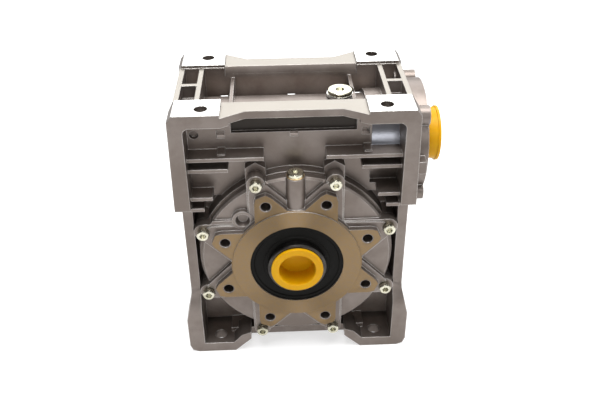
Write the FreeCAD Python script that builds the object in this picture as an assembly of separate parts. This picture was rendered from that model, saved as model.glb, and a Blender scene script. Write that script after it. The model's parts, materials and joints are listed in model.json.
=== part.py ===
"""Worm gearbox, frame size 090: die-cast housing, star-flanged output cover, hollow output shaft,
bronze worm wheel, single-start worm, bearings, seals, plugs and protective caps.

Units are millimetres. The output axis is Y and the worm axis is X. +X is the input side, -Y is the
side with the bolted output cover, +Z is up. The origin is the centre of the output bore.
"""
import FreeCAD
import Part
import os
from math import atan2, cos, degrees, pi, radians, sin, sqrt, tan

V = FreeCAD.Vector
X_AXIS = V(1, 0, 0)
Y_AXIS = V(0, 1, 0)
Z_AXIS = V(0, 0, 1)
ORIGIN = V(0, 0, 0)

# ---- gear pair -------------------------------------------------------------------------------
MODULE = 4.5
WHEEL_TEETH = 30
WORM_PITCH_R = 22.5
WHEEL_PITCH_R = MODULE * WHEEL_TEETH / 2
CENTRE_DISTANCE = WORM_PITCH_R + WHEEL_PITCH_R
WORM_LEAD = pi * MODULE
WORM_TIP_R = WORM_PITCH_R + MODULE
WORM_ROOT_R = WORM_PITCH_R - 1.2 * MODULE
WHEEL_THROAT_R = WHEEL_PITCH_R + MODULE
WHEEL_ROOT_R = WHEEL_PITCH_R - 1.2 * MODULE
WHEEL_OUTER_R = 74.0
WHEEL_HALF_WIDTH = 19.0
WHEEL_RIM_INNER_R = 52.0
PRESSURE_ANGLE = 20.0
THREAD_HALF_WIDTH = 2.70          # half the worm thread's thickness at the pitch radius
GAP_HALF_WIDTH = 3.75             # half the wheel's tooth gap at the pitch radius
WORM_THREAD_HALF_LENGTH = 32.0

# ---- output shaft and its bearings -----------------------------------------------------------
BORE_R = 17.5
SHAFT_R = 25.0
SHAFT_HALF_LENGTH = 70.0
BORE_GROOVE_Y = -51.5             # retaining-ring groove that ends the clear length of the bore
OUTPUT_KEY_WIDTH = 10.0
OUTPUT_KEY_TOP = 20.8
HUB_R = 33.0
HUB_HALF_LENGTH = 33.5
OUTPUT_BEARING_OUTER_R = 40.0
OUTPUT_BEARING_WIDTH = 16.0
OUTPUT_BEARING_INNER_FACE = 33.5
SEAL_WIDTH = 10.0
SEAL_FACE = 63.3

# ---- worm shaft and its bearings -------------------------------------------------------------
INPUT_SHAFT_R = 20.0
INPUT_BORE_R = 12.0
INPUT_BORE_DEPTH = 62.0
INPUT_KEY_WIDTH = 8.0
INPUT_KEY_TOP = 15.3
INPUT_BEARING_OUTER_R = 34.0
INPUT_BEARING_X0 = 82.0
INPUT_BEARING_WIDTH = 15.0
INPUT_SEAL_X0 = 99.6
INPUT_SEAL_WIDTH = 8.0
BLIND_SHAFT_R = 15.0
BLIND_BEARING_OUTER_R = 31.0
BLIND_BEARING_X0 = -89.5
BLIND_BEARING_WIDTH = 16.0
CIRCLIP_WIDTH = 2.0
CIRCLIP_DEPTH = 1.4
INPUT_CIRCLIP_X0 = INPUT_BEARING_X0 + INPUT_BEARING_WIDTH + 0.1
BLIND_CIRCLIP_X0 = BLIND_BEARING_X0 - CIRCLIP_WIDTH - 0.1
END_CAP_WIDTH = 6.0

# ---- housing, top frame ----------------------------------------------------------------------
FRAME_BOTTOM = 57.0
FRAME_HALF_WIDTH_LOW = 99.0
FRAME_HALF_WIDTH_HIGH = 97.5
FRAME_CHAMFER_Z = 138.5
FRAME_HALF_DEPTH = 62.0
PAD_TOP = 143.5
PAD_INNER_X = 57.0
PAD_OUTER_X = 93.5
PAD_INNER_Y = 33.5
RAIL_TOP = 141.0
RAIL_SETBACK_Y = 51.0
RAIL_SETBACK_X = 38.0
SIDE_FLAT_X = 95.3
TOP_HOLE_X = 71.8
FOOT_HOLE_Y = 50.0
FOOT_HOLE_R = 5.5
TOP_HOLE_R = 5.25
TOP_HOLE_BOTTOM = 120.5
POCKET_TOP = 132.5
POCKET_HALF_WIDTH = 86.0
POCKET_CORNER_R = 5.0
PANEL_FACE = 38.0
PANEL_BACK = 33.0
WELL_FLOOR = 107.0
WELL_HALF_LENGTH = 74.5
SIDE_POCKET_X0 = 78.5
SIDE_POCKET_X1 = 91.0
SLOT_HALF_LENGTH = 50.5
SLOT_BOTTOM = 115.8
SLOT_TOP = 134.6                  # the rail above the slot is hollowed up to this height
WINDOW_HALF_WIDTH = 3.2
WINDOW_BOTTOM = 111.3
WINDOW_TOP = 114.9
WINDOW_RECESS_DEPTH = 2.5
WINDOWS = [(-59.0, 118.0), (0.0, 115.6), (58.0, 118.0)]     # x and the top of the recess above it
BEARING_RECESS_X0 = 62.8
BEARING_RECESS_DEPTH = 24.0
BEARING_RECESS_BOTTOM = 64.8
CROSS_RIB_TOP = 131.8
CORNER_HOLE_R = 3.6
CORNER_HOLE_X = -80.5
CORNER_HOLE_Z = 114.6
RIB_FRONT = 54.0
RIB_THICKNESS = 3.2
CROSS_RIB_X = 50.5
FACE_RIBS = [(25.0, 101.5), (54.0, 91.5), (68.0, 64.8), (75.5, 54.2)]   # inner x and top z

# ---- housing, gear case and feet -------------------------------------------------------------
CASE_R = 84.0
CASE_CAVITY_R = 77.0
COVER_JOINT_Y = 47.0
CAVITY_REAR_Y = 33.5
SCREW_CIRCLE_R = 84.66
SCREW_ANGLES = [22.5 + 45.0 * k for k in range(8)]
SCREW_R = 3.0
SCREW_HEAD_R = 5.0
SCREW_HEAD_HEIGHT = 6.0
SCREW_LENGTH = 25.0
SCREW_SOCKET = 5.0
SCREW_BOSS_R = 7.6
GABLE_HALF_WIDTH = 8.4
GABLE_SHOULDER = 9.3              # heights of the gabled seat above the screw's axis
GABLE_PEAK = 14.6
CORE_HALF_DEPTH = 30.0
WALL_INNER_X = 86.0
WALL_OUTER_X = 94.5
WALL_HALF_DEPTH = 52.0
FOOT_OUTER_X = 100.0
FOOT_INNER_X = 58.0
FOOT_TOP = -91.0
BASE_Z = -101.0
MID_PLATE_BOTTOM = -94.5

# ---- output cover and star flange ------------------------------------------------------------
PILOT_FACE = 64.7
STAR_FACE = 63.6
PILOT_R = 55.0
RING_R = 56.0
FLANGE_PCD_R = 65.0
FLANGE_HOLE_R = 4.25
FLANGE_HOLE_CHAMFER_R = 5.25
FLANGE_HOLE_CHAMFER_DEPTH = 0.5
FLANGE_HOLE_DEPTH = 16.0
COVER_R = 82.0
COVER_HUB_R = 50.5
EAR_WEB_INNER = 38.0               # inner end of the straight webs behind the star
COVER_EDGE_CHAMFER = 1.6
DISH_FACE = 54.5
EAR_FACE = 57.2
LUG_X = -44.4
LUG_Z = 44.3
LUG_R = 9.0
LUG_FACE = 59.0
LUG_RECESS_R = 6.2
LUG_RECESS_FLOOR_R = 4.3
LUG_RECESS_DEPTH = 5.0
PLUG_BOSS_R = 8.0
PLUG_BOSS_Y = -55.2
PLUG_BOSS_TOP = 84.2
O_RING_SEAT_R = CASE_CAVITY_R - 2.25
O_RING_TUBE_R = 1.1

# ---- input boss ------------------------------------------------------------------------------
BOSS_R = 48.0
BOSS_FACE = 108.5
BOSS_LOBE_PCD_R = 50.0
BOSS_LOBE_R = 8.0
BOSS_LOBE_ANGLES = [45.0, 135.0, 225.0, 315.0]
BOSS_SCREW_R = 3.4
BLIND_FACE = -98.5
TUBE_R = 40.0

# ---- plugs and protective caps ---------------------------------------------------------------
TOP_PLUG_X = 40.0
TOP_PLUG_Y = 2.0
FILLER_SEAT_Z = 128.2
FILLER_THREAD_R = 6.5
FILLER_WASHER_THICKNESS = 1.5
COVER_PLUG_THREAD_R = 5.5
COVER_PLUG_WASHER_THICKNESS = 1.2
CAP_RIM_R = 22.15
CAP_INSIDE_R = 15.7
CAP_SKIRT_R = BORE_R - 0.3
CAP_SKIRT_LENGTH = 18.0
CAP_RIM_THICKNESS = 2.4
INPUT_CAP_RIM_X = 124.0
INPUT_CAP_RIM_R = 23.6
INPUT_CAP_RIM_THICKNESS = 2.0

FIT_GAP = 0.05                    # radial gap of a part that turns in a fixed part


# ---- small geometry helpers ------------------------------------------------------------------
def box(x0, x1, y0, y1, z0, z1):
    return Part.makeBox(x1 - x0, y1 - y0, z1 - z0, V(x0, y0, z0))


def rod_x(radius, x0, x1, z=CENTRE_DISTANCE, y=0.0):
    return Part.makeCylinder(radius, x1 - x0, V(x0, y, z), X_AXIS)


def rod_y(radius, y0, y1, x=0.0, z=0.0):
    return Part.makeCylinder(radius, y1 - y0, V(x, y0, z), Y_AXIS)


def rod_z(radius, z0, z1, x=0.0, y=0.0):
    return Part.makeCylinder(radius, z1 - z0, V(x, y, z0), Z_AXIS)


def prism_y(points, y0, y1):
    """A prism along Y from a list of (x, z) corners."""
    wire = Part.makePolygon([V(x, y0, z) for x, z in points + points[:1]])
    return Part.Face(wire).extrude(V(0, y1 - y0, 0))


def prism_x(points, x0, x1):
    """A prism along X from a list of (y, z) corners."""
    wire = Part.makePolygon([V(x0, y, z) for y, z in points + points[:1]])
    return Part.Face(wire).extrude(V(x1 - x0, 0, 0))


def prism_z(points, z0, z1):
    """A prism along Z from a list of (x, y) corners."""
    wire = Part.makePolygon([V(x, y, z0) for x, y in points + points[:1]])
    return Part.Face(wire).extrude(V(0, 0, z1 - z0))


def fuse(shapes):
    first, rest = shapes[0], shapes[1:]
    return first.fuse(rest) if rest else first


def polar(radius, angle):
    return radius * cos(radians(angle)), radius * sin(radians(angle))


def turned_y(shape, angle):
    """Turn a shape about the Y axis so that its +X direction moves to polar angle `angle` in XZ."""
    copy = shape.copy()
    copy.rotate(ORIGIN, Y_AXIS, -angle)
    return copy


def mirrored(shape, normal):
    return shape.mirror(ORIGIN, normal)


def both_sides_y(shapes):
    return shapes + [mirrored(shape, Y_AXIS) for shape in shapes]


def both_sides_x(shape):
    return [shape, mirrored(shape, X_AXIS)]


def one_solid(shape):
    """The shape with its coplanar faces merged, checked to be a single valid solid."""
    clean = shape.removeSplitter()
    solids = clean.Solids
    if len(solids) != 1 or not clean.isValid():
        raise RuntimeError("expected one valid solid, got %d" % len(solids))
    return solids[0]


def washer_y(outer, inner, y0, y1):
    return rod_y(outer, y0, y1).cut(rod_y(inner, y0 - 1, y1 + 1))


def hex_socket_cutter(across_flats, depth, at, direction):
    """A hexagonal prism that starts at `at` and runs `depth` along `direction`."""
    corner_r = across_flats / sqrt(3)
    points = [V(corner_r * cos(k * pi / 3), corner_r * sin(k * pi / 3), 0) for k in range(7)]
    prism = Part.Face(Part.makePolygon(points)).extrude(V(0, 0, depth))
    prism.Placement = FreeCAD.Placement(at, FreeCAD.Rotation(Z_AXIS, direction))
    return prism


# ---- housing ---------------------------------------------------------------------------------
def frame_block():
    """The top frame before it is hollowed: slightly tapered sides and chamfered shoulders."""
    block = prism_y([
        (-FRAME_HALF_WIDTH_LOW, FRAME_BOTTOM), (FRAME_HALF_WIDTH_LOW, FRAME_BOTTOM),
        (FRAME_HALF_WIDTH_HIGH, FRAME_CHAMFER_Z), (PAD_OUTER_X, PAD_TOP),
        (-PAD_OUTER_X, PAD_TOP), (-FRAME_HALF_WIDTH_HIGH, FRAME_CHAMFER_Z),
    ], -FRAME_HALF_DEPTH, FRAME_HALF_DEPTH)
    beyond = FRAME_HALF_WIDTH_LOW + 1
    side = prism_z([
        (SIDE_FLAT_X, -PAD_INNER_Y), (beyond, -RAIL_SETBACK_Y),
        (beyond, RAIL_SETBACK_Y), (SIDE_FLAT_X, PAD_INNER_Y),
    ], FRAME_BOTTOM - 1, PAD_TOP + 1)
    rail = prism_z([
        (-PAD_INNER_X, -FRAME_HALF_DEPTH - 0.1), (-RAIL_SETBACK_X, -RAIL_SETBACK_Y),
        (RAIL_SETBACK_X, -RAIL_SETBACK_Y), (PAD_INNER_X, -FRAME_HALF_DEPTH - 0.1),
    ], FRAME_BOTTOM - 1, PAD_TOP + 1)
    between_pads = box(-PAD_INNER_X, PAD_INNER_X, -80, 80, RAIL_TOP, PAD_TOP + 1)
    along_sides = box(-110, 110, -PAD_INNER_Y, PAD_INNER_Y, RAIL_TOP, PAD_TOP + 1)
    cutters = both_sides_x(side) + [rail, mirrored(rail, Y_AXIS), between_pads, along_sides]
    return block.cut(cutters)


def face_pocket():
    """The deep pocket in the front of the top frame, with rounded upper corners."""
    r = POCKET_CORNER_R
    w = POCKET_HALF_WIDTH
    tall = box(-w, w, -FRAME_HALF_DEPTH - 1, -PANEL_FACE, FRAME_BOTTOM - 1, POCKET_TOP - r)
    top = box(-w + r, w - r, -FRAME_HALF_DEPTH - 1, -PANEL_FACE, POCKET_TOP - r - 1, POCKET_TOP)
    corner = rod_y(r, -FRAME_HALF_DEPTH - 1, -PANEL_FACE, w - r, POCKET_TOP - r)
    return fuse([tall, top] + both_sides_x(corner))


def top_well():
    """The open well between the rails, with slightly splayed upper walls."""
    low = box(-WELL_HALF_LENGTH, WELL_HALF_LENGTH, -PANEL_BACK, PANEL_BACK, WELL_FLOOR, RAIL_TOP + 5)
    splay = prism_x([
        (-PANEL_BACK, POCKET_TOP), (PANEL_BACK, POCKET_TOP), (PANEL_BACK + 4.5, PAD_TOP + 1),
        (-PANEL_BACK - 2.0, PAD_TOP + 1),
    ], -PAD_INNER_X, PAD_INNER_X)
    return fuse([low, splay])


def side_pocket():
    """The pair of open pockets in the top of one side wall, either side of a cross rib."""
    half_rib = RIB_THICKNESS / 2 + 0.4
    cells = []
    for sign in (-1, 1):
        y0, y1 = sorted((sign * half_rib, sign * PANEL_BACK))
        cells.append(box(SIDE_POCKET_X0, SIDE_POCKET_X1, y0, y1, WELL_FLOOR, PAD_TOP + 1))
    return fuse(cells)


def face_ribs():
    """Ribs that stand out of the front panel between the side wall and the gear case."""
    wall = WALL_INNER_X + 1
    ribs = []
    for x0, top in FACE_RIBS:
        ribs.append(box(x0, wall, -RIB_FRONT, -PANEL_FACE + 1, top - RIB_THICKNESS, top))
    nub = box(56.0, 62.0, -RIB_FRONT + 4.5, -PANEL_FACE, 101.0, 103.0)
    return both_sides_x(fuse(ribs + [nub]))


def screw_seats():
    """Bosses behind the cover joint that take the eight cover screws; the upper pair is gabled."""
    seats = []
    for angle in SCREW_ANGLES:
        x, z = polar(SCREW_CIRCLE_R, angle)
        seats.append(rod_y(SCREW_BOSS_R, -COVER_JOINT_Y, -20, x, z))
    x, z = polar(SCREW_CIRCLE_R, 67.5)
    gable = prism_y([
        (x - GABLE_HALF_WIDTH, z - 12), (x + GABLE_HALF_WIDTH, z - 12),
        (x + GABLE_HALF_WIDTH, z + GABLE_SHOULDER), (x, z + GABLE_PEAK),
        (x - GABLE_HALF_WIDTH, z + GABLE_SHOULDER),
    ], -COVER_JOINT_Y, -PANEL_FACE + 2)
    return seats + both_sides_x(gable)


def lower_body():
    """Side walls, feet, core block and bottom plate below the top frame."""
    w = WALL_HALF_DEPTH
    d = FRAME_HALF_DEPTH
    wall_profile = prism_x([
        (-w, FRAME_BOTTOM + 2), (-w, -33), (-d, -50), (-d, BASE_Z),
        (d, BASE_Z), (d, -50), (w, -33), (w, FRAME_BOTTOM + 2),
    ], 0, FOOT_OUTER_X + 1)
    wall_front = prism_y([
        (WALL_INNER_X, FRAME_BOTTOM + 2), (WALL_OUTER_X, FRAME_BOTTOM + 2), (WALL_OUTER_X, -38),
        (FOOT_OUTER_X, -62), (FOOT_OUTER_X, BASE_Z + 8), (FOOT_OUTER_X - 2.3, BASE_Z + 2.3),
        (FOOT_OUTER_X - 8, BASE_Z), (WALL_INNER_X, BASE_Z),
    ], -d, d)
    wall = wall_profile.common(wall_front)
    window = box(WALL_OUTER_X - 4.5, FOOT_OUTER_X + 2, -w + 9, w - 9, -84, FRAME_BOTTOM - 6)
    side_rib = box(WALL_OUTER_X - 6, WALL_OUTER_X - 0.4, -w + 8, w - 8, -4, 0)
    upright = box(WALL_OUTER_X - 6, WALL_OUTER_X - 0.4, -2, 2, -84, FRAME_BOTTOM)
    wall = wall.cut(window).fuse([side_rib, upright])
    foot = box(FOOT_INNER_X, FOOT_OUTER_X - 8, -d, d, BASE_Z, FOOT_TOP)
    sweep = prism_y([
        (FOOT_INNER_X, BASE_Z), (43.0, -87.0), (43.0, -79.0), (51.5, -82.5), (59.5, FOOT_TOP),
        (60.5, BASE_Z),
    ], -d, -PANEL_FACE)
    core = box(0, WALL_INNER_X + 1, -CORE_HALF_DEPTH, CORE_HALF_DEPTH, -88, FRAME_BOTTOM + 2)
    plate = box(0, FOOT_INNER_X + 4, -COVER_JOINT_Y, COVER_JOINT_Y, MID_PLATE_BOTTOM, -86.5)
    cored = box(63, 83, -CORE_HALF_DEPTH + 4, CORE_HALF_DEPTH - 4, BASE_Z - 1, -56)
    half = fuse([wall, foot, sweep, mirrored(sweep, Y_AXIS), core, plate]).cut(cored)
    return both_sides_x(half)


def star_plate(y_face, y_back):
    """The eight-armed star: a ring with an arm on every 45 degrees from 22.5 degrees."""
    arm = prism_y([
        (50, 16.4), (71.5, 7.5), (75.3, 4.4), (75.3, -4.4), (71.5, -7.5), (50, -16.4),
    ], y_face, y_back)
    return fuse([rod_y(RING_R, y_face, y_back)] + [turned_y(arm, a) for a in SCREW_ANGLES])


def arm_pedestals(y_face, y_back):
    """Cast webs that widen below each arm and run out to the screw ears."""
    web = prism_y([(50, 21.5), (80, 8.5), (84, 5), (84, -5), (80, -8.5), (50, -21.5)], y_face, y_back)
    return [turned_y(web, a) for a in SCREW_ANGLES]


def flange_holes(face, direction):
    """Tapped holes of the star flange with their chamfers; direction is +1 into +Y, -1 into -Y."""
    cutters = []
    for angle in SCREW_ANGLES:
        x, z = polar(FLANGE_PCD_R, angle)
        axis = V(0, direction, 0)
        start = V(x, face, z)
        cutters.append(Part.makeCylinder(FLANGE_HOLE_R, FLANGE_HOLE_DEPTH, start, axis))
        cutters.append(Part.makeCone(FLANGE_HOLE_CHAMFER_R, FLANGE_HOLE_R, FLANGE_HOLE_CHAMFER_DEPTH,
                                     start, axis))
    return cutters


def rear_wall():
    """The closed rear of the gear case with its own star flange."""
    disc = rod_y(CASE_R, CORE_HALF_DEPTH - 1, DISH_FACE)
    star = star_plate(DISH_FACE - 1, STAR_FACE)
    webs = arm_pedestals(DISH_FACE - 1, DISH_FACE + 4)
    pilot = rod_y(PILOT_R, STAR_FACE - 1, PILOT_FACE)
    return [disc, star, pilot] + webs


def input_boss():
    """The turned input boss with four lobes and two side ribs."""
    shapes = [rod_x(BOSS_R, 92, BOSS_FACE)]
    for angle in BOSS_LOBE_ANGLES:
        dy, dz = polar(BOSS_LOBE_PCD_R, angle)
        shapes.append(rod_x(BOSS_LOBE_R, 90, BOSS_FACE, CENTRE_DISTANCE + dz, dy))
    shapes.append(box(88, BOSS_FACE - 3, -58, 58, CENTRE_DISTANCE - 6, CENTRE_DISTANCE + 5))
    return shapes


def panel_openings():
    """The long slot and three small windows of each panel; each window has a shallow recess above it."""
    length = SLOT_HALF_LENGTH
    back = -PANEL_BACK - 1.2
    cutters = [
        box(-length, length, -PANEL_FACE - 0.1, back, SLOT_BOTTOM, SLOT_TOP),
        box(-length, length, -FRAME_HALF_DEPTH - 1, back, POCKET_TOP - 1, SLOT_TOP),
    ]
    w = WINDOW_HALF_WIDTH
    for x, recess_top in WINDOWS:
        cutters.append(box(x - w, x + w, -PANEL_FACE - 0.1, -PANEL_BACK + 0.1, WINDOW_BOTTOM, WINDOW_TOP))
        cutters.append(box(x - w, x + w, -PANEL_FACE - 0.1, -PANEL_FACE + WINDOW_RECESS_DEPTH,
                           WINDOW_TOP - 0.1, recess_top))
    return both_sides_y(cutters)


def worm_bores():
    """Bearing bores and retaining-ring grooves along the worm's axis."""
    input_groove_r = INPUT_BEARING_OUTER_R + CIRCLIP_DEPTH
    blind_groove_r = BLIND_BEARING_OUTER_R + CIRCLIP_DEPTH
    return [
        rod_x(INPUT_BEARING_OUTER_R, 62, BOSS_FACE + 1),
        rod_x(BLIND_BEARING_OUTER_R, BLIND_FACE - 1, 63),
        rod_x(input_groove_r, INPUT_CIRCLIP_X0, INPUT_CIRCLIP_X0 + CIRCLIP_WIDTH),
        rod_x(blind_groove_r, BLIND_CIRCLIP_X0, BLIND_CIRCLIP_X0 + CIRCLIP_WIDTH),
    ]


def mount_holes():
    """Plain holes of the four top pads and the four feet."""
    cutters = []
    for x in (-TOP_HOLE_X, TOP_HOLE_X):
        for y in (-FOOT_HOLE_Y, FOOT_HOLE_Y):
            cutters.append(rod_z(TOP_HOLE_R, TOP_HOLE_BOTTOM, PAD_TOP + 1, x, y))
            cutters.append(rod_z(FOOT_HOLE_R, BASE_Z - 1, FOOT_TOP + 1, x, y))
    return cutters


def housing():
    pocket = face_pocket()
    recess = box(BEARING_RECESS_X0, POCKET_HALF_WIDTH, -PANEL_FACE - 1, -PANEL_FACE + BEARING_RECESS_DEPTH,
                 BEARING_RECESS_BOTTOM, POCKET_TOP - 2)
    body = frame_block().cut(both_sides_y([pocket]) + [recess, top_well()] + both_sides_x(side_pocket()))
    cross_rib = box(CROSS_RIB_X - 1.5, CROSS_RIB_X + 1.5, -PANEL_BACK - 1, PANEL_BACK + 1,
                    WELL_FLOOR - 1, CROSS_RIB_TOP)
    parts = [body] + lower_body() + both_sides_y(face_ribs()) + both_sides_x(cross_rib)
    parts += [rod_x(TUBE_R - 4, BLIND_FACE + 1, BOSS_FACE - 1), rod_x(TUBE_R, 60, BOSS_FACE - 2)]
    parts += [rod_x(TUBE_R, BLIND_FACE, -78)] + input_boss()
    parts += [rod_y(CASE_R, -COVER_JOINT_Y, DISH_FACE)] + screw_seats() + rear_wall()
    parts.append(rod_z(11.5, 110, FILLER_SEAT_Z, TOP_PLUG_X, TOP_PLUG_Y))

    cutters = [rod_y(CASE_CAVITY_R, -COVER_JOINT_Y - 1, CAVITY_REAR_Y)]
    cutters.append(rod_y(OUTPUT_BEARING_OUTER_R, CAVITY_REAR_Y - 1, PILOT_FACE + 1))
    cutters += worm_bores() + flange_holes(STAR_FACE, -1) + panel_openings() + mount_holes()
    cutters.append(rod_y(CORNER_HOLE_R, -PANEL_FACE - 1, -PANEL_FACE + 4, CORNER_HOLE_X, CORNER_HOLE_Z))
    for angle in SCREW_ANGLES:
        x, z = polar(SCREW_CIRCLE_R, angle)
        cutters.append(rod_y(SCREW_R, -COVER_JOINT_Y - 1, -COVER_JOINT_Y + 20, x, z))
        cutters.append(rod_y(SCREW_BOSS_R + 0.8, -FRAME_HALF_DEPTH - 1, -COVER_JOINT_Y, x, z))
    for angle in BOSS_LOBE_ANGLES:
        dy, dz = polar(BOSS_LOBE_PCD_R, angle)
        cutters.append(rod_x(BOSS_SCREW_R, BOSS_FACE - 18, BOSS_FACE + 1, CENTRE_DISTANCE + dz, dy))
    cutters.append(rod_z(12.0, FILLER_SEAT_Z, PAD_TOP, TOP_PLUG_X, TOP_PLUG_Y))
    cutters.append(rod_z(FILLER_THREAD_R, 100, FILLER_SEAT_Z + 1, TOP_PLUG_X, TOP_PLUG_Y))
    return one_solid(fuse(parts).cut(cutters))


# ---- output cover ----------------------------------------------------------------------------
def cover_plate():
    """The round plate of the cover with a chamfered front edge, and the spigot behind it."""
    chamfer = COVER_EDGE_CHAMFER
    plate = rod_y(COVER_R, -DISH_FACE + chamfer, -COVER_JOINT_Y)
    edge = Part.makeCone(COVER_R - chamfer, COVER_R, chamfer, V(0, -DISH_FACE, 0), Y_AXIS)
    spigot = rod_y(CASE_CAVITY_R - FIT_GAP, -COVER_JOINT_Y - 1, -COVER_JOINT_Y + 6)
    hub = rod_y(COVER_HUB_R, -COVER_JOINT_Y, -OUTPUT_BEARING_INNER_FACE)
    return [plate, edge, spigot, hub]


def cover_lug():
    """The round lug beside the star flange with the web that joins it to the cover's edge."""
    lug = rod_y(LUG_R, -LUG_FACE, -COVER_JOINT_Y, LUG_X, LUG_Z)
    web = box(-COVER_R, LUG_X, -LUG_FACE + 2, -COVER_JOINT_Y, LUG_Z - 9, LUG_Z - 1)
    return [lug, web.common(rod_y(COVER_R, -LUG_FACE, -COVER_JOINT_Y))]


def screw_ears():
    """Round ears for the cover screws, each with a straight web that runs in to the star flange."""
    r = SCREW_BOSS_R
    ears = []
    for angle in SCREW_ANGLES:
        x, z = polar(SCREW_CIRCLE_R, angle)
        ears.append(rod_y(r, -EAR_FACE, -COVER_JOINT_Y, x, z))
    x, z = polar(SCREW_CIRCLE_R, 67.5)
    y0, y1 = -EAR_FACE, -COVER_JOINT_Y
    upright = both_sides_x(box(x - r, x + r, y0, y1, EAR_WEB_INNER, z))
    level = both_sides_x(box(EAR_WEB_INNER, z, y0, y1, x - r, x + r))
    webs = upright + level
    return ears + webs + [mirrored(web, Z_AXIS) for web in webs]


def output_cover():
    boss = rod_z(PLUG_BOSS_R, 45, PLUG_BOSS_TOP, 0, PLUG_BOSS_Y)
    boss = boss.common(box(-20, 20, -STAR_FACE, -COVER_JOINT_Y, 40, 90))
    star = star_plate(-STAR_FACE, -DISH_FACE + 1)
    pilot = rod_y(PILOT_R, -PILOT_FACE, -STAR_FACE + 1)
    webs = arm_pedestals(-DISH_FACE - 4, -DISH_FACE + 1)
    body = fuse(cover_plate() + [star, pilot, boss] + cover_lug() + webs + screw_ears())

    cutters = [rod_y(OUTPUT_BEARING_OUTER_R, -PILOT_FACE - 1, -30)]
    cutters.append(washer_y(69.0, COVER_HUB_R, -COVER_JOINT_Y, -30))
    cutters += flange_holes(-STAR_FACE, 1)
    cutters.append(washer_y(CASE_CAVITY_R + 1, O_RING_SEAT_R, -COVER_JOINT_Y + 1.5,
                            -COVER_JOINT_Y + 4.2))
    for angle in SCREW_ANGLES:
        x, z = polar(SCREW_CIRCLE_R, angle)
        cutters.append(rod_y(SCREW_R + 0.4, -EAR_FACE - 1, -COVER_JOINT_Y + 7, x, z))
        cutters.append(rod_y(SCREW_HEAD_R + 0.8, -STAR_FACE - 1, -EAR_FACE, x, z))
    cutters.append(rod_z(COVER_PLUG_THREAD_R, PLUG_BOSS_TOP - 12, PLUG_BOSS_TOP + 1, 0, PLUG_BOSS_Y))
    cutters.append(Part.makeCone(LUG_RECESS_R, LUG_RECESS_FLOOR_R, LUG_RECESS_DEPTH,
                                 V(LUG_X, -LUG_FACE, LUG_Z), Y_AXIS))
    return one_solid(body.cut(cutters))


def cover_o_ring():
    return Part.makeTorus(CASE_CAVITY_R - O_RING_TUBE_R - 0.02, O_RING_TUBE_R,
                          V(0, -COVER_JOINT_Y + 2.85, 0), Y_AXIS)


def socket_screw(head_r, head_height, thread_r, length, socket, at, direction):
    """A socket-head cap screw: `at` is the centre of the head's seat, `direction` points to the tip."""
    out = direction * -1
    head = Part.makeCylinder(head_r, head_height, at, out)
    rim = [e for e in head.Edges if e.Closed and (e.CenterOfMass - at).Length > head_height / 2]
    head = head.makeChamfer(0.6, rim[:1])
    shank = Part.makeCylinder(thread_r, length, at, direction)
    cutter = hex_socket_cutter(socket, head_height * 0.55, at + out * (head_height + 0.001), direction)
    return one_solid(head.fuse(shank).cut(cutter))


def cover_screws():
    screws = []
    for angle in SCREW_ANGLES:
        x, z = polar(SCREW_CIRCLE_R, angle)
        screws.append(socket_screw(SCREW_HEAD_R, SCREW_HEAD_HEIGHT, SCREW_R, SCREW_LENGTH, SCREW_SOCKET,
                                   V(x, -EAR_FACE, z), Y_AXIS))
    return Part.makeCompound(screws)


# ---- plugs -----------------------------------------------------------------------------------
def filler_plug_washer():
    top = FILLER_SEAT_Z + FILLER_WASHER_THICKNESS
    ring = rod_z(11.2, FILLER_SEAT_Z, top, TOP_PLUG_X, TOP_PLUG_Y)
    return ring.cut(rod_z(FILLER_THREAD_R, FILLER_SEAT_Z - 1, top + 1, TOP_PLUG_X, TOP_PLUG_Y))


def filler_plug():
    seat = V(TOP_PLUG_X, TOP_PLUG_Y, FILLER_SEAT_Z + FILLER_WASHER_THICKNESS)
    return socket_screw(10.4, 3.0, FILLER_THREAD_R, 12.0, 7.0, seat, Z_AXIS * -1)


def cover_plug_washer():
    top = PLUG_BOSS_TOP + COVER_PLUG_WASHER_THICKNESS
    ring = rod_z(7.4, PLUG_BOSS_TOP, top, 0, PLUG_BOSS_Y)
    return ring.cut(rod_z(COVER_PLUG_THREAD_R, PLUG_BOSS_TOP - 1, top + 1, 0, PLUG_BOSS_Y))


def cover_plug():
    seat = V(0, PLUG_BOSS_Y, PLUG_BOSS_TOP + COVER_PLUG_WASHER_THICKNESS)
    return socket_screw(6.9, 2.8, COVER_PLUG_THREAD_R, 9.0, 5.0, seat, Z_AXIS * -1)


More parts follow.
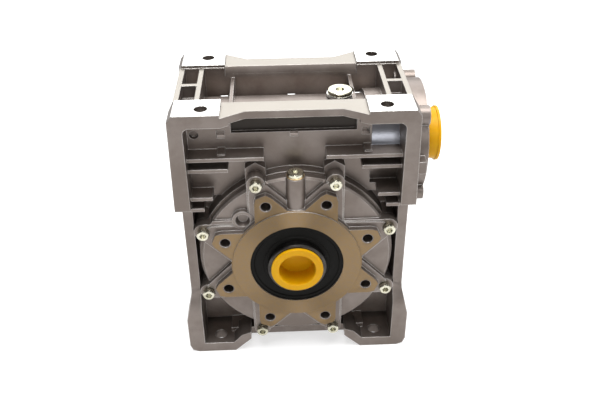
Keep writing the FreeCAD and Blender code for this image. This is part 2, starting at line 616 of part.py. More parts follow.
# ---- output shaft and wheel ------------------------------------------------------------------
def output_hub():
    body = rod_y(SHAFT_R, -SHAFT_HALF_LENGTH, SHAFT_HALF_LENGTH)
    ends = []
    for y, direction in ((-SHAFT_HALF_LENGTH, 1), (SHAFT_HALF_LENGTH, -1)):
        cone = Part.makeCone(SHAFT_R - 1.0, SHAFT_R, 1.0, V(0, y, 0), V(0, direction, 0))
        ends.append(rod_y(SHAFT_R + 1, min(y, y + direction), max(y, y + direction)).cut(cone))
    body = body.cut(ends)
    hub = rod_y(HUB_R, -HUB_HALF_LENGTH, HUB_HALF_LENGTH)
    disc = rod_y(WHEEL_RIM_INNER_R, -WHEEL_HALF_WIDTH + 4, WHEEL_HALF_WIDTH - 4)
    collar = washer_y(WHEEL_RIM_INNER_R, WHEEL_RIM_INNER_R - 6, -WHEEL_HALF_WIDTH, WHEEL_HALF_WIDTH)
    body = fuse([body, hub, disc, collar])
    key = box(-OUTPUT_KEY_WIDTH / 2, OUTPUT_KEY_WIDTH / 2, -80, 80, 0, OUTPUT_KEY_TOP)
    holes = []
    for k in range(6):
        x, z = polar(39.5, 60.0 * k)
        holes.append(rod_y(4.5, -30, 30, x, z))
    groove = rod_y(BORE_R + 1.0, BORE_GROOVE_Y, BORE_GROOVE_Y + 1.6)
    body = body.cut([rod_y(BORE_R, -80, 80), key, groove] + holes)
    return one_solid(body)


def worm_wheel():
    """Bronze rim with a throated outside and thirty gaps that follow the worm's lead."""
    rim = washer_y(WHEEL_OUTER_R, WHEEL_RIM_INNER_R, -WHEEL_HALF_WIDTH, WHEEL_HALF_WIDTH)
    throat = Part.makeTorus(CENTRE_DISTANCE, CENTRE_DISTANCE - WHEEL_THROAT_R, ORIGIN, Y_AXIS)
    rim = rim.cut(throat)
    slope = tan(radians(PRESSURE_ANGLE))
    low = WHEEL_ROOT_R
    high = WHEEL_OUTER_R + 2
    half_low = GAP_HALF_WIDTH - (WHEEL_PITCH_R - low) * slope
    half_high = GAP_HALF_WIDTH + (high - WHEEL_PITCH_R) * slope
    reach = WHEEL_HALF_WIDTH + 3
    lead_angle = degrees(atan2(WORM_LEAD, 2 * pi * WORM_PITCH_R))
    gap = prism_y([(-half_low, low), (half_low, low), (half_high, high), (-half_high, high)],
                  -reach, reach)
    gap.rotate(ORIGIN, Z_AXIS, -lead_angle)
    gaps = []
    for k in range(WHEEL_TEETH):
        copy = gap.copy()
        copy.rotate(ORIGIN, Y_AXIS, 360.0 * k / WHEEL_TEETH)
        gaps.append(copy)
    return one_solid(rim.cut(gaps))


# ---- worm ------------------------------------------------------------------------------------
def worm_thread():
    """One right-hand thread of trapezoidal section, its crest at the bottom of the worm at x = 0."""
    slope = tan(radians(PRESSURE_ANGLE))
    root = WORM_ROOT_R - 0.4
    half_root = THREAD_HALF_WIDTH + (WORM_PITCH_R - root) * slope
    half_tip = THREAD_HALF_WIDTH - (WORM_TIP_R - WORM_PITCH_R) * slope
    turns = 2 * WORM_THREAD_HALF_LENGTH / WORM_LEAD
    length = turns * WORM_LEAD
    helix = Part.makeHelix(WORM_LEAD, length, WORM_PITCH_R)
    section = Part.makePolygon([
        V(root, 0, -half_root), V(WORM_TIP_R, 0, -half_tip), V(WORM_TIP_R, 0, half_tip),
        V(root, 0, half_root), V(root, 0, -half_root),
    ])
    thread = Part.Wire(helix.Edges).makePipeShell([section], True, True)
    thread.rotate(ORIGIN, Z_AXIS, -180.0 * length / WORM_LEAD)
    thread.translate(V(0, 0, -length / 2))
    thread.rotate(ORIGIN, Y_AXIS, 90)
    thread.translate(V(0, 0, CENTRE_DISTANCE))
    return thread


def worm_shaft():
    seal_end = BOSS_FACE - 1.0
    body = fuse([
        rod_x(WORM_ROOT_R, -50, 50),
        rod_x(INPUT_SHAFT_R + 4.0, 50, INPUT_BEARING_X0),
        rod_x(INPUT_SHAFT_R, INPUT_BEARING_X0 - 1, seal_end),
        rod_x(BLIND_SHAFT_R + 3.0, BLIND_BEARING_X0 + BLIND_BEARING_WIDTH, -49),
        rod_x(BLIND_SHAFT_R, BLIND_BEARING_X0, -49),
    ])
    body = body.fuse(worm_thread())
    key = box(seal_end - 45, seal_end + 1, -INPUT_KEY_WIDTH / 2, INPUT_KEY_WIDTH / 2,
              CENTRE_DISTANCE, CENTRE_DISTANCE + INPUT_KEY_TOP)
    bore = rod_x(INPUT_BORE_R, seal_end - INPUT_BORE_DEPTH, seal_end + 1)
    return one_solid(body.cut([bore, key]))


# ---- bearings, seals, rings ------------------------------------------------------------------
def bearing(at, direction, inner_r, outer_r, width, count):
    """Outer ring, inner ring, balls and cage of a deep-groove ball bearing that starts at `at`."""
    pitch_r = (inner_r + outer_r) / 2
    section = outer_r - inner_r
    ball_r = section * 0.29
    shoulder = section * 0.2
    mid = at + direction * (width / 2)

    def tube(outside, inside, length):
        start = mid - direction * (length / 2)
        return Part.makeCylinder(outside, length, start, direction).cut(
            Part.makeCylinder(inside, length, start, direction))

    groove = Part.makeTorus(pitch_r, ball_r + 0.12, mid, direction)
    outer = tube(outer_r, pitch_r + shoulder, width).cut(groove)
    inner = tube(pitch_r - shoulder, inner_r, width).cut(groove)
    side = V(0, 0, 1)
    balls = []
    pockets = []
    for k in range(count):
        spot = FreeCAD.Rotation(direction, 360.0 * k / count).multVec(side)
        balls.append(Part.makeSphere(ball_r, mid + spot * pitch_r))
        pockets.append(Part.makeCylinder(ball_r + 0.15, section, mid + spot * inner_r, spot))
    cage = tube(pitch_r + section * 0.07, pitch_r - section * 0.07, width * 0.78).cut(pockets)
    return {"outer_ring": one_solid(outer), "inner_ring": one_solid(inner),
            "balls": Part.makeCompound(balls), "cage": one_solid(cage)}


def shaft_seal(at, direction, inner_r, outer_r, width):
    """A rotary shaft seal: cased outside, sloped face and a lip that runs on the shaft."""
    body = Part.makeCylinder(outer_r, width, at, direction)
    hole = Part.makeCylinder(inner_r + FIT_GAP, width, at, direction)
    dish_r = outer_r - 3.0
    lip_r = inner_r + 3.0
    dish = Part.makeCone(dish_r, dish_r - 1.0, 1.0, at, direction).cut(
        Part.makeCone(lip_r, lip_r + 1.0, 1.0, at, direction))
    back = Part.makeCylinder(dish_r, width * 0.55, at + direction * (width * 0.45), direction).cut(
        Part.makeCylinder(lip_r, width, at, direction))
    return one_solid(body.cut([hole, dish, back]))


def circlip(x0, seat_r, gap_angle):
    """An internal retaining ring, open at the bottom."""
    ring = rod_x(seat_r + CIRCLIP_DEPTH - 0.1, x0, x0 + CIRCLIP_WIDTH).cut(
        rod_x(seat_r - 3.0, x0, x0 + CIRCLIP_WIDTH))
    half = (seat_r + 3) * tan(radians(gap_angle / 2))
    wedge = prism_x([(0, CENTRE_DISTANCE), (-half, CENTRE_DISTANCE - seat_r - 3),
                     (half, CENTRE_DISTANCE - seat_r - 3)], x0 - 1, x0 + CIRCLIP_WIDTH + 1)
    return one_solid(ring.cut(wedge))


def blind_end_cap():
    """The pressed cup that closes the worm tube on the side away from the input."""
    outside = rod_x(BLIND_BEARING_OUTER_R, BLIND_FACE + 0.3, BLIND_FACE + 0.3 + END_CAP_WIDTH)
    inside = rod_x(BLIND_BEARING_OUTER_R - 2.5, BLIND_FACE + 2.5, BLIND_FACE + 1 + END_CAP_WIDTH)
    dimple = rod_x(BLIND_BEARING_OUTER_R - 6.0, BLIND_FACE, BLIND_FACE + 1.1)
    return one_solid(outside.cut([inside, dimple]))


# ---- protective caps -------------------------------------------------------------------------
def output_cap():
    """Yellow plug in the front end of the hollow shaft: a hollow skirt with a flat rim."""
    seat = -SHAFT_HALF_LENGTH - 0.1
    skirt = rod_y(CAP_SKIRT_R, seat - 0.5, seat + CAP_SKIRT_LENGTH)
    rim = rod_y(CAP_RIM_R, seat - CAP_RIM_THICKNESS, seat)
    hollow = rod_y(CAP_INSIDE_R, seat - CAP_RIM_THICKNESS - 1, seat + CAP_SKIRT_LENGTH - 2.0)
    body = fuse([skirt, rim]).cut(hollow)
    front = seat - CAP_RIM_THICKNESS
    corner = [e for e in body.Edges if e.Closed and abs(e.CenterOfMass.y - front) < 1e-4]
    return one_solid(body.makeChamfer(0.6, corner))


def input_cap():
    """Yellow tapered plug: a stem in the worm's bore and a flared cup that ends in a thin rim."""
    seat = BOSS_FACE - 0.8
    rim_back = INPUT_CAP_RIM_X - INPUT_CAP_RIM_THICKNESS
    flare = rim_back - seat
    cone = Part.makeCone(19.6, INPUT_CAP_RIM_R - 0.9, flare, V(seat, 0, CENTRE_DISTANCE), X_AXIS)
    rim = rod_x(INPUT_CAP_RIM_R, rim_back, INPUT_CAP_RIM_X)
    stem = rod_x(INPUT_BORE_R - 0.3, seat - 14, seat + 1)
    cup = Part.makeCone(17.2, INPUT_CAP_RIM_R - 3.0, flare, V(seat + 2.2, 0, CENTRE_DISTANCE), X_AXIS)
    hollow = rod_x(INPUT_BORE_R - 2.3, seat - 12, seat + 3)
    return one_solid(fuse([cone, rim, stem]).cut([cup, hollow]))


# ---- the whole object ------------------------------------------------------------------------
def all_nodes():
    nodes = {
        "housing": housing(),
        "output_cover": output_cover(),
        "cover_o_ring": cover_o_ring(),
        "cover_screws": cover_screws(),
        "cover_plug": cover_plug(),
        "cover_plug_washer": cover_plug_washer(),
        "filler_plug": filler_plug(),
        "filler_plug_washer": filler_plug_washer(),
        "output_hub": output_hub(),
        "worm_wheel": worm_wheel(),
        "worm_shaft": worm_shaft(),
        "output_cap": output_cap(),
        "input_cap": input_cap(),
        "blind_end_cap": blind_end_cap(),
        "input_circlip": circlip(INPUT_CIRCLIP_X0, INPUT_BEARING_OUTER_R, 40),
        "blind_circlip": circlip(BLIND_CIRCLIP_X0, BLIND_BEARING_OUTER_R, 40),
        "input_seal": shaft_seal(V(INPUT_SEAL_X0 + INPUT_SEAL_WIDTH, 0, CENTRE_DISTANCE), X_AXIS * -1,
                                 INPUT_SHAFT_R, INPUT_BEARING_OUTER_R, INPUT_SEAL_WIDTH),
        "output_seal_front": shaft_seal(V(0, -SEAL_FACE, 0), Y_AXIS, SHAFT_R,
                                        OUTPUT_BEARING_OUTER_R, SEAL_WIDTH),
        "output_seal_rear": shaft_seal(V(0, SEAL_FACE, 0), Y_AXIS * -1, SHAFT_R,
                                       OUTPUT_BEARING_OUTER_R, SEAL_WIDTH),
    }
    bearings = {
        "output_bearing_front": (V(0, -OUTPUT_BEARING_INNER_FACE, 0), Y_AXIS * -1, SHAFT_R,
                                 OUTPUT_BEARING_OUTER_R, OUTPUT_BEARING_WIDTH, 14),
        "output_bearing_rear": (V(0, OUTPUT_BEARING_INNER_FACE, 0), Y_AXIS, SHAFT_R,
                                OUTPUT_BEARING_OUTER_R, OUTPUT_BEARING_WIDTH, 14),
        "input_bearing": (V(INPUT_BEARING_X0, 0, CENTRE_DISTANCE), X_AXIS, INPUT_SHAFT_R,
                          INPUT_BEARING_OUTER_R, INPUT_BEARING_WIDTH, 12),
        "blind_bearing": (V(BLIND_BEARING_X0, 0, CENTRE_DISTANCE), X_AXIS, BLIND_SHAFT_R,
                          BLIND_BEARING_OUTER_R, BLIND_BEARING_WIDTH, 9),
    }
    for name, values in bearings.items():
        for piece, shape in bearing(*values).items():
            nodes[name + "_" + piece] = shape
    return nodes


os.makedirs("parts", exist_ok=True)
for node, shape in all_nodes().items():
    shape.exportStep("parts/" + node + ".step")
    print(node, len(shape.Solids), round(shape.Volume / 1000.0, 2), "cm3", shape.isValid())
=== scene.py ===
"""Looks of the worm gearbox: materials, smooth shading, floor, studio light and camera.

Metres, in the CAD frame: output axis Y (front flange at -Y), worm axis X (input at +X), Z up.
"""
import json
import math

import bpy
from mathutils import Matrix, Vector

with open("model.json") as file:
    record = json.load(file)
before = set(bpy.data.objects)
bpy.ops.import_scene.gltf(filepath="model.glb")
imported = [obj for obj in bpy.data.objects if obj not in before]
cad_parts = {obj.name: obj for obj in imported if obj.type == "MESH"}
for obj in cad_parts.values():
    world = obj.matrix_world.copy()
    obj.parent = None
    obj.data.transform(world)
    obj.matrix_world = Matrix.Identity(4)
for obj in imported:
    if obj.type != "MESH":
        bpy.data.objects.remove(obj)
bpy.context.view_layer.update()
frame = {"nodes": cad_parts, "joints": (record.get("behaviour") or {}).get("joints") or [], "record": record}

MM = 0.001

NODES = frame["nodes"]
JOINTS = {joint["name"]: joint for joint in frame["joints"]}
MOUNTS = {mount["name"]: mount for mount in frame["record"]["mounts"]}

WORM_Z = JOINTS["worm_spin"]["pos_m"][2]
STAR_FACE_Y = MOUNTS["front_flange_bolts"]["pos_m"][1]
PAD_TOP_Z = MOUNTS["top_bolts"]["pos_m"][2]
BASE_Z = MOUNTS["foot_bolts"]["pos_m"][2]
BOSS_FACE_X = MOUNTS["input_flange_bolts"]["pos_m"][0]

# How far below a machined face its mask still holds, and where the painted areas lie.
FACING_LIMIT = 0.9                # least part of the normal along the axis that a face looks to
FACE_DEPTH = 0.3 * MM
STAR_FACE_DEPTH = 0.1 * MM        # the plug boss ends 0.4 mm behind the star's face
RAIL_DEPTH = 2.8 * MM             # the rails lie 2.5 mm below the pads
# where the painted shade of the slots lies
SLOT_HALF_LENGTH = 50.4 * MM
SLOT_DEPTHS = (34.0 * MM, 37.7 * MM)
SLOT_HEIGHTS = (116.0 * MM, 134.7 * MM)
SEAT_LENGTHS = (62.9 * MM, 86.5 * MM)
SEAT_BACK_Y = -14.0 * MM
SEAT_RISE = 6.0 * MM              # the band starts this far above the worm's axis
SEAT_OUTER_R = 40.3 * MM

# Finish of the cast and the cut aluminium. Noise scales are per metre.
CAST_METALLIC, CUT_METALLIC = 0.78, 0.97
CAST_ROUGHNESS = (0.36, 0.46)
MILLED_ROUGHNESS = (0.26, 0.36)
TURNED_ROUGHNESS = (0.40, 0.46)
SEAT_ROUGHNESS = 0.28
GRAIN_SCALE, MOTTLE_SCALE, FLOW_SCALE, STREAK_SCALE = 1400.0, 28.0, 60.0, 500.0
GRAIN_DEPTH, GRAIN_STRENGTH = 0.00010, 0.22
MARK_DEPTH, MARK_STRENGTH = 0.000006, 0.25
# how far the painted rail highlight and the painted slot shade cover the cast colour
RAIL_HIGHLIGHT_COVER, SLOT_SHADE_COVER = 0.8, 0.9
TURNED_ANISOTROPY = 0.95
RADIAL_GLINT = 0.25               # a quarter turn from the tangent, so glints run along the radius

TURNING_PITCH = 0.7 * MM
RING_WOBBLE = 4.0                 # radians that the noise shifts the turning marks
CAST_EDGE_RADIUS = 0.9 * MM
# width of the painted highlight along the cast edges
EDGE_HIGHLIGHT_RADIUS = 1.3 * MM
PLASTIC_EDGE_RADIUS = 0.4 * MM
RUBBER_EDGE_RADIUS = 0.3 * MM
METAL_EDGE_RADIUS = 0.25 * MM
BEVEL_SAMPLES = 4
SMOOTH_ANGLE = 32.0
WELD_DISTANCE = 0.002 * MM

# name, location, target, size, power
LIGHTS = [
    ("back_light", (0.0, 1.05, 0.95), (0.0, 0.0, 0.05), (2.2, 1.1), 24.0),
    ("top_light", (0.1, -0.15, 1.6), (0.0, 0.0, 0.0), (1.4, 1.0), 44.0),
    ("front_light", (0.0, -1.5, 0.75), (0.0, 0.0, 0.1), (0.9, 0.3), 6.0),
    ("right_light", (1.3, -0.35, 0.7), (0.0, 0.0, 0.0), (0.7, 0.7), 4.5),
]
FLOOR_HALF_SIZE = 6.0
FLOOR_GAP = 0.05 * MM             # keeps the floor clear of the soles
FLOOR_GREY = (0.5, 0.5, 0.5)
FLOOR_GLOW_COLOUR = (1.0, 1.0, 1.0)
FLOOR_ROUGHNESS = 0.9
FLOOR_GLOW = 0.60                 # the floor is partly self-lit
WORLD_LIGHTS, WORLD_SEEN = 0.16, 1.0
CAMERA_POSITION = (-0.0146, -0.5568, 0.3946)
CAMERA_YAW, CAMERA_PITCH, CAMERA_ROLL = 0.036, -0.587, 0.011
CAMERA_LENS, CAMERA_SENSOR, CAMERA_CLIP = 43.92, 36.0, 0.01


# ---- node material helpers -------------------------------------------------------------------
class Shader:
    """A small builder for node materials with object-space coordinates."""

    def __init__(self, name):
        self.material = bpy.data.materials.new(name)
        self.material.use_nodes = True
        self.tree = self.material.node_tree
        self.tree.nodes.clear()
        self.out = self.tree.nodes.new("ShaderNodeOutputMaterial")
        self.surface = self.tree.nodes.new("ShaderNodeBsdfPrincipled")
        self.link(self.surface.outputs[0], self.out.inputs["Surface"])
        self.coords = self.tree.nodes.new("ShaderNodeTexCoord").outputs["Object"]

    def link(self, source, target):
        self.tree.links.new(source, target)

    def plug(self, value, socket):
        if hasattr(value, "is_output"):
            self.link(value, socket)
        else:
            socket.default_value = value

    def math(self, operation, first, second=0.0):
        node = self.tree.nodes.new("ShaderNodeMath")
        node.operation = operation
        self.plug(first, node.inputs[0])
        self.plug(second, node.inputs[1])
        return node.outputs[0]

    def noise(self, scale, detail=4.0, roughness=0.55, stretch=None):
        node = self.tree.nodes.new("ShaderNodeTexNoise")
        node.inputs["Scale"].default_value = scale
        node.inputs["Detail"].default_value = detail
        node.inputs["Roughness"].default_value = roughness
        source = self.coords
        if stretch:
            mapping = self.tree.nodes.new("ShaderNodeMapping")
            mapping.inputs["Scale"].default_value = stretch
            self.link(source, mapping.inputs["Vector"])
            source = mapping.outputs[0]
        self.link(source, node.inputs["Vector"])
        return node.outputs["Fac"]

    def ramp(self, value, low, high, out_low=0.0, out_high=1.0):
        node = self.tree.nodes.new("ShaderNodeMapRange")
        node.interpolation_type = "SMOOTHSTEP"
        for socket, number in zip(("From Min", "From Max", "To Min", "To Max"),
                                  (low, high, out_low, out_high)):
            node.inputs[socket].default_value = number
        self.plug(value, node.inputs["Value"])
        return node.outputs[0]

    def mix(self, factor, first, second):
        node = self.tree.nodes.new("ShaderNodeMix")
        node.data_type = "RGBA"
        self.plug(factor, node.inputs[0])
        for socket, colour in ((node.inputs[6], first), (node.inputs[7], second)):
            if hasattr(colour, "is_output"):
                self.link(colour, socket)
            else:
                socket.default_value = (*colour, 1.0)
        return node.outputs[2]

    def blend(self, factor, first, second):
        node = self.tree.nodes.new("ShaderNodeMix")
        node.data_type = "FLOAT"
        self.plug(factor, node.inputs[0])
        self.plug(first, node.inputs[2])
        self.plug(second, node.inputs[3])
        return node.outputs[0]

    def split(self, vector):
        node = self.tree.nodes.new("ShaderNodeSeparateXYZ")
        self.link(vector, node.inputs[0])
        return node.outputs

    def normal(self):
        return self.tree.nodes.new("ShaderNodeTexCoord").outputs["Normal"]

    def rounded(self, radius):
        """The surface normal with its edges rounded by the radius."""
        bevel = self.tree.nodes.new("ShaderNodeBevel")
        bevel.samples = BEVEL_SAMPLES
        bevel.inputs["Radius"].default_value = radius
        return bevel.outputs[0]

    def edges(self, radius):
        """1 on sharp edges, fading to 0 within the radius."""
        geometry = self.tree.nodes.new("ShaderNodeNewGeometry")
        dot = self.tree.nodes.new("ShaderNodeVectorMath")
        dot.operation = "DOT_PRODUCT"
        self.link(self.rounded(radius), dot.inputs[0])
        self.link(geometry.outputs["Normal"], dot.inputs[1])
        return self.ramp(dot.outputs["Value"], 0.8, 0.99, 1.0, 0.0)

    def bump(self, layers, radius):
        """Stacks bump layers of (height, distance, strength) on the rounded normal."""
        normal = self.rounded(radius)
        for height, distance, strength in layers:
            node = self.tree.nodes.new("ShaderNodeBump")
            node.inputs["Distance"].default_value = distance
            self.plug(strength, node.inputs["Strength"])
            self.link(height, node.inputs["Height"])
            self.link(normal, node.inputs["Normal"])
            normal = node.outputs[0]
        self.link(normal, self.surface.inputs["Normal"])

    def set(self, **values):
        for name, value in values.items():
            socket = self.surface.inputs[name.replace("_", " ")]
            if isinstance(value, tuple):
                value = (*value, 1.0)
            self.plug(value, socket)


def facing(shader, axis, sign):
    """1 where the surface faces along an axis of the object, else 0."""
    component = shader.split(shader.normal())[axis]
    return shader.math("GREATER_THAN", shader.math("MULTIPLY", component, sign), FACING_LIMIT)


def beyond(shader, axis, sign, limit):
    """1 where the object coordinate, times sign, is past limit."""
    component = shader.split(shader.coords)[axis]
    return shader.math("GREATER_THAN", shader.math("MULTIPLY", component, sign), limit)


def both(shader, *masks):
    result = masks[0]
    for mask in masks[1:]:
        result = shader.math("MULTIPLY", result, mask)
    return result


def either(shader, *masks):
    result = masks[0]
    for mask in masks[1:]:
        result = shader.math("MAXIMUM", result, mask)
    return result


def radius_from(shader, first_axis, second_axis, centre_second=0.0):
    """Distance from an axis line, from two object coordinates."""
    parts = shader.split(shader.coords)
    first = shader.math("POWER", parts[first_axis], 2.0)
    offset = shader.math("SUBTRACT", parts[second_axis], centre_second)
    second = shader.math("POWER", offset, 2.0)
    return shader.math("SQRT", shader.math("ADD", first, second))


def rings(shader, radius, pitch):
    """Fine concentric turning marks."""
    wobble = shader.noise(60.0, 2.0)
    phase = shader.math("MULTIPLY", radius, 2.0 * math.pi / pitch)
    phase = shader.math("ADD", phase, shader.math("MULTIPLY", wobble, RING_WOBBLE))
    return shader.math("SINE", phase)


# ---- materials -------------------------------------------------------------------------------
CAST_DARK = (0.150, 0.124, 0.108)
CAST_LIGHT = (0.215, 0.184, 0.166)
# painted highlight colour along the cast edges
CAST_EDGE_HIGHLIGHT = (0.56, 0.54, 0.52)
MACHINED = (0.86, 0.86, 0.83)
# tan painted into the turned star faces as a reflection of warm surroundings
MACHINED_TAN_REFLECTION = (0.235, 0.160, 0.082)
# painted shade for the long slot under each rail
SLOT_PAINTED_SHADE = (0.012, 0.010, 0.008)
# painted highlight colour for the upward faces of the rails
RAIL_PAINTED_HIGHLIGHT = (0.32, 0.30, 0.265)
# painted bluish reflection on the machined band of the worm tube
SEAT_REFLECTION_BLUE = (0.22, 0.225, 0.25)
RUBBER_BLACK = (0.0045, 0.0042, 0.0035)
RUBBER_DUSTY = (0.012, 0.011, 0.010)


def housing_details(s, mask, colour, rough):
    """Paints a highlight on the rails' upward faces, shade into the slots, and a bluish reflection on the
    glossy band of the worm tube.
    """
    cast = s.math("SUBTRACT", 1.0, mask)
    # a painted highlight on the upward faces of the rails
    rails = both(s, facing(s, 2, 1.0), beyond(s, 2, 1.0, PAD_TOP_Z - RAIL_DEPTH), cast)
    colour = s.mix(s.math("MULTIPLY", rails, RAIL_HIGHLIGHT_COVER), colour, RAIL_PAINTED_HIGHLIGHT)
    # paints shade into the slots under the rails
    colour = s.mix(s.math("MULTIPLY", slot_shade_mask(s), SLOT_SHADE_COVER), colour, SLOT_PAINTED_SHADE)
    # the band is glossier, and its bluish colour is a painted reflection
    seat = bearing_seat_mask(s)
    return s.mix(seat, colour, SEAT_REFLECTION_BLUE), s.blend(seat, rough, SEAT_ROUGHNESS)


def turned_face(s, mask):
    """Gives the masked face a lathe-turned gloss, and returns the bump layer of its marks."""
    s.set(Anisotropic=s.math("MULTIPLY", mask, TURNED_ANISOTROPY), Anisotropic_Rotation=RADIAL_GLINT)
    tangent = s.tree.nodes.new("ShaderNodeTangent")
    tangent.direction_type = "RADIAL"
    tangent.axis = "Y"
    s.link(tangent.outputs[0], s.surface.inputs["Tangent"])
    marks = rings(s, radius_from(s, 0, 2), TURNING_PITCH)
    return marks, MARK_DEPTH, s.math("MULTIPLY", mask, MARK_STRENGTH)


def cast_with_machining(name, machined_mask, machined_colour, cut_roughness, turned):
    """Die-cast aluminium with a fine grain, mottling and a painted highlight on its edges, and turned or
    milled faces by mask.
    """
    s = Shader(name)
    mask = machined_mask(s)
    grain = s.noise(GRAIN_SCALE, 3.0, 0.6)
    mottle = s.noise(MOTTLE_SCALE, 5.0, 0.6)
    flow = s.noise(FLOW_SCALE, 4.0, 0.6, stretch=(1.0, 1.0, 0.25))
    cast = s.mix(s.ramp(mottle, 0.35, 0.68), CAST_DARK, CAST_LIGHT)
    cast = s.mix(s.ramp(flow, 0.55, 0.8, 0.0, 0.35), cast, CAST_LIGHT)
    # a painted highlight along every edge of the casting, stronger where the mottle is lighter
    edge_highlight = s.math("MULTIPLY", s.edges(EDGE_HIGHLIGHT_RADIUS), s.ramp(mottle, 0.3, 0.6, 0.45, 0.9))
    cast = s.mix(edge_highlight, cast, CAST_EDGE_HIGHLIGHT)
    streak = s.noise(STREAK_SCALE, 3.0, 0.5)
    # the rear star face gets the same painted tan reflection as the front one
    rear_star = beyond(s, 1, 1.0, -STAR_FACE_Y - FACE_DEPTH)
    cut = s.mix(rear_star, machined_colour, MACHINED_TAN_REFLECTION)
    cut = s.mix(s.ramp(streak, 0.3, 0.7, 0.0, 0.22), cut, CAST_LIGHT)
    colour = s.mix(mask, cast, cut)
    cast_rough = s.ramp(mottle, 0.3, 0.7, *CAST_ROUGHNESS)
    cut_rough = s.ramp(streak, 0.3, 0.7, *cut_roughness)
    rough = s.blend(mask, cast_rough, cut_rough)
    if not turned:
        colour, rough = housing_details(s, mask, colour, rough)
    s.set(Base_Color=colour, Metallic=s.blend(mask, CAST_METALLIC, CUT_METALLIC), Roughness=rough)
    not_mask = s.math("SUBTRACT", 1.0, mask)
    layers = [(grain, GRAIN_DEPTH, s.math("MULTIPLY", not_mask, GRAIN_STRENGTH))]
    if turned:
        layers.append(turned_face(s, mask))
    s.bump(layers, CAST_EDGE_RADIUS)
    return s.material


def housing_mask(s):
    """The milled pads and soles, the rear star and the input boss face."""
    pads = both(s, facing(s, 2, 1.0), beyond(s, 2, 1.0, PAD_TOP_Z - FACE_DEPTH))
    soles = both(s, facing(s, 2, -1.0), beyond(s, 2, -1.0, -BASE_Z - FACE_DEPTH))
    rear = both(s, facing(s, 1, 1.0), beyond(s, 1, 1.0, -STAR_FACE_Y - FACE_DEPTH))
    boss = both(s, facing(s, 0, 1.0), beyond(s, 0, 1.0, BOSS_FACE_X - FACE_DEPTH))
    return either(s, pads, soles, rear, boss)


def cover_mask(s):
    """The turned star face and pilot ring."""
    return both(s, facing(s, 1, -1.0), beyond(s, 1, -1.0, -STAR_FACE_Y - STAR_FACE_DEPTH))


def slot_shade_mask(s):
    """The long slot under each rail, into which shade is painted dark."""
    inside = both(s, beyond(s, 0, 1.0, -SLOT_HALF_LENGTH), beyond(s, 0, -1.0, -SLOT_HALF_LENGTH))
    depth = s.math("ABSOLUTE", s.split(s.coords)[1])
    near, far = SLOT_DEPTHS
    behind = both(s, s.math("LESS_THAN", depth, far), s.math("GREATER_THAN", depth, near))
    low, high = SLOT_HEIGHTS
    return both(s, inside, behind, beyond(s, 2, 1.0, low), beyond(s, 2, -1.0, -high))


def bearing_seat_mask(s):
    """The glossy band of the worm tube that shows in the upper recess on the input side, with a painted
    bluish reflection.
    """
    start, end = SEAT_LENGTHS
    along = both(s, beyond(s, 0, 1.0, start), beyond(s, 0, -1.0, -end))
    across = both(s, beyond(s, 1, -1.0, -SEAT_BACK_Y), beyond(s, 2, 1.0, WORM_Z + SEAT_RISE))
    near_axis = s.math("LESS_THAN", radius_from(s, 1, 2, WORM_Z), SEAT_OUTER_R)
    return both(s, along, across, near_axis)


def plastic(name, colour, deep):
    s = Shader(name)
    tone = s.noise(35.0, 3.0)
    s.set(Base_Color=s.mix(s.ramp(tone, 0.35, 0.7), colour, deep), Roughness=0.42,
          Specular_IOR_Level=0.15, Subsurface_Weight=0.12, Subsurface_Scale=0.004)
    s.bump([(s.noise(300.0, 3.0), 0.00008, 0.25)], PLASTIC_EDGE_RADIUS)
    return s.material


def rubber(name):
    s = Shader(name)
    dust = s.noise(80.0, 4.0)
    s.set(Base_Color=s.mix(s.ramp(dust, 0.5, 0.8, 0.0, 0.5), RUBBER_BLACK, RUBBER_DUSTY),
          Roughness=s.ramp(dust, 0.3, 0.7, 0.5, 0.62), Specular_IOR_Level=0.1)
    s.bump([(s.noise(700.0, 3.0), 0.00008, 0.3)], RUBBER_EDGE_RADIUS)
    return s.material


def metal(name, light, dark, roughness):
    s = Shader(name)
    tone = s.noise(90.0, 4.0)
    fine = s.noise(600.0, 3.0)
    s.set(Base_Color=s.mix(s.ramp(tone, 0.35, 0.7), light, dark), Metallic=1.0,
          Roughness=s.ramp(fine, 0.3, 0.7, roughness - 0.06, roughness + 0.08))
    s.bump([(fine, 0.00004, 0.3)], METAL_EDGE_RADIUS)
    return s.material


MATERIALS = {
    "cast_aluminium": cast_with_machining("cast_housing", housing_mask, MACHINED,
                                          MILLED_ROUGHNESS, False),
    "cover_aluminium": cast_with_machining("cast_cover", cover_mask, MACHINED_TAN_REFLECTION,
                                           TURNED_ROUGHNESS, True),
    "seal_rubber": rubber("seal_rubber"),
    "zinc_steel": metal("zinc_plated", (0.62, 0.60, 0.49), (0.40, 0.38, 0.29), 0.22),
    "washer_copper": metal("copper_washer", (0.72, 0.55, 0.32), (0.50, 0.34, 0.20), 0.3),
    "washer_aluminium": metal("aluminium_washer", (0.85, 0.85, 0.84), (0.6, 0.6, 0.6), 0.3),
    "hub_iron": metal("hub_iron", (0.075, 0.070, 0.066), (0.040, 0.037, 0.034), 0.34),
    "wheel_bronze": metal("wheel_bronze", (0.78, 0.55, 0.27), (0.58, 0.38, 0.17), 0.28),
    "worm_steel": metal("worm_steel", (0.62, 0.62, 0.63), (0.42, 0.42, 0.43), 0.2),
    "spring_steel": metal("spring_steel", (0.20, 0.20, 0.21), (0.10, 0.10, 0.11), 0.35),
    "bearing_steel": metal("bearing_steel", (0.74, 0.74, 0.76), (0.55, 0.55, 0.57), 0.14),
    "cage_brass": metal("cage_brass", (0.80, 0.60, 0.30), (0.62, 0.44, 0.2), 0.3),
    "cap_yellow": plastic("cap_yellow", (0.60, 0.31, 0.001), (0.54, 0.27, 0.001)),
}

for part in frame["record"]["subparts"]:
    node = NODES[part["node"]]
    node.data.materials.clear()
    node.data.materials.append(MATERIALS[part["material_slot"]])


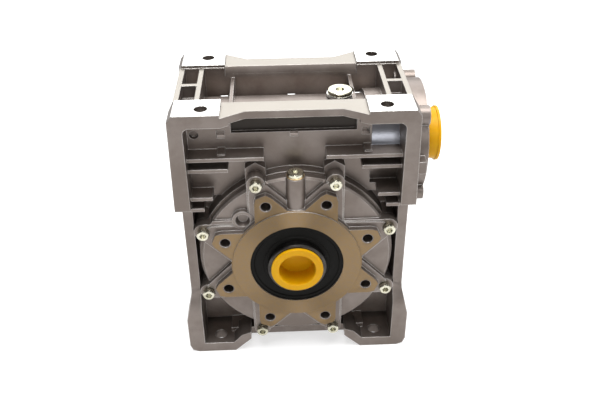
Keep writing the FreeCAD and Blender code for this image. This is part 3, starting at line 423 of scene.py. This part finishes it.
# ---- rounded shading on CAD nodes ------------------------------------------------------------
def smooth_group(limit_degrees):
    """A modifier group that shades smooth below an edge angle and sharp above it."""
    group = bpy.data.node_groups.new("smooth_by_angle", "GeometryNodeTree")
    group.interface.new_socket("Geometry", in_out="INPUT", socket_type="NodeSocketGeometry")
    group.interface.new_socket("Geometry", in_out="OUTPUT", socket_type="NodeSocketGeometry")
    nodes, links = group.nodes, group.links
    start = nodes.new("NodeGroupInput")
    end = nodes.new("NodeGroupOutput")
    weld = nodes.new("GeometryNodeMergeByDistance")
    weld.inputs["Distance"].default_value = WELD_DISTANCE
    faces = nodes.new("GeometryNodeSetShadeSmooth")
    faces.domain = "FACE"
    edges = nodes.new("GeometryNodeSetShadeSmooth")
    edges.domain = "EDGE"
    edges.inputs["Shade Smooth"].default_value = False
    angle = nodes.new("GeometryNodeInputMeshEdgeAngle")
    over = nodes.new("FunctionNodeCompare")
    over.data_type = "FLOAT"
    over.operation = "GREATER_THAN"
    over.inputs[1].default_value = math.radians(limit_degrees)
    links.new(start.outputs[0], weld.inputs["Geometry"])
    links.new(weld.outputs[0], faces.inputs["Geometry"])
    links.new(faces.outputs[0], edges.inputs["Geometry"])
    links.new(angle.outputs["Unsigned Angle"], over.inputs[0])
    links.new(over.outputs[0], edges.inputs["Selection"])
    links.new(edges.outputs[0], end.inputs[0])
    return group


SMOOTH = smooth_group(SMOOTH_ANGLE)
for node in NODES.values():
    modifier = node.modifiers.new("smooth_by_angle", "NODES")
    modifier.node_group = SMOOTH


# ---- studio ----------------------------------------------------------------------------------
def add_floor():
    mesh = bpy.data.meshes.new("floor")
    size = FLOOR_HALF_SIZE
    mesh.from_pydata([(-size, -size, 0), (size, -size, 0), (size, size, 0), (-size, size, 0)],
                     [], [(0, 1, 2, 3)])
    floor = bpy.data.objects.new("floor", mesh)
    floor.location.z = BASE_Z - FLOOR_GAP
    bpy.context.scene.collection.objects.link(floor)
    s = Shader("floor_white")
    s.set(Base_Color=FLOOR_GREY, Roughness=FLOOR_ROUGHNESS, Emission_Color=FLOOR_GLOW_COLOUR,
          Emission_Strength=FLOOR_GLOW)
    mesh.materials.append(s.material)


def add_area(name, location, target, size, power):
    data = bpy.data.lights.new(name, "AREA")
    data.shape = "RECTANGLE"
    data.size, data.size_y = size
    data.energy = power
    lamp = bpy.data.objects.new(name, data)
    lamp.location = location
    direction = Vector(target) - Vector(location)
    lamp.rotation_euler = direction.to_track_quat("-Z", "Y").to_euler()
    bpy.context.scene.collection.objects.link(lamp)


def add_world():
    """A white backdrop: WORLD_SEEN where the camera looks at it, WORLD_LIGHTS as light."""
    world = bpy.data.worlds.new("studio")
    world.use_nodes = True
    nodes, links = world.node_tree.nodes, world.node_tree.links
    background = nodes["Background"]
    background.inputs[0].default_value = (1.0, 1.0, 1.0, 1.0)
    seen = nodes.new("ShaderNodeLightPath")
    strength = nodes.new("ShaderNodeMapRange")
    strength.inputs["To Min"].default_value = WORLD_LIGHTS
    strength.inputs["To Max"].default_value = WORLD_SEEN
    links.new(seen.outputs["Is Camera Ray"], strength.inputs["Value"])
    links.new(strength.outputs[0], background.inputs[1])
    bpy.context.scene.world = world


def add_camera():
    """A camera turned by yaw, pitch and roll about the Z, X and Y directions."""
    yaw = Matrix.Rotation(-CAMERA_YAW, 3, "Z")
    pitch = Matrix.Rotation(CAMERA_PITCH, 3, "X")
    roll = Matrix.Rotation(CAMERA_ROLL, 3, "Y")
    turn = yaw @ pitch @ roll
    right, forward, up = (turn @ Vector(v) for v in ((1, 0, 0), (0, 1, 0), (0, 0, 1)))
    data = bpy.data.cameras.new("camera")
    data.sensor_width = CAMERA_SENSOR
    data.lens = CAMERA_LENS
    data.clip_start = CAMERA_CLIP
    camera = bpy.data.objects.new("camera", data)
    basis = Matrix((right, up, -forward)).transposed()
    camera.matrix_world = Matrix.Translation(Vector(CAMERA_POSITION)) @ basis.to_4x4()
    bpy.context.scene.collection.objects.link(camera)
    bpy.context.scene.camera = camera


add_floor()
for light in LIGHTS:
    add_area(*light)
add_world()
add_camera()
bpy.context.scene.view_settings.view_transform = "Standard"
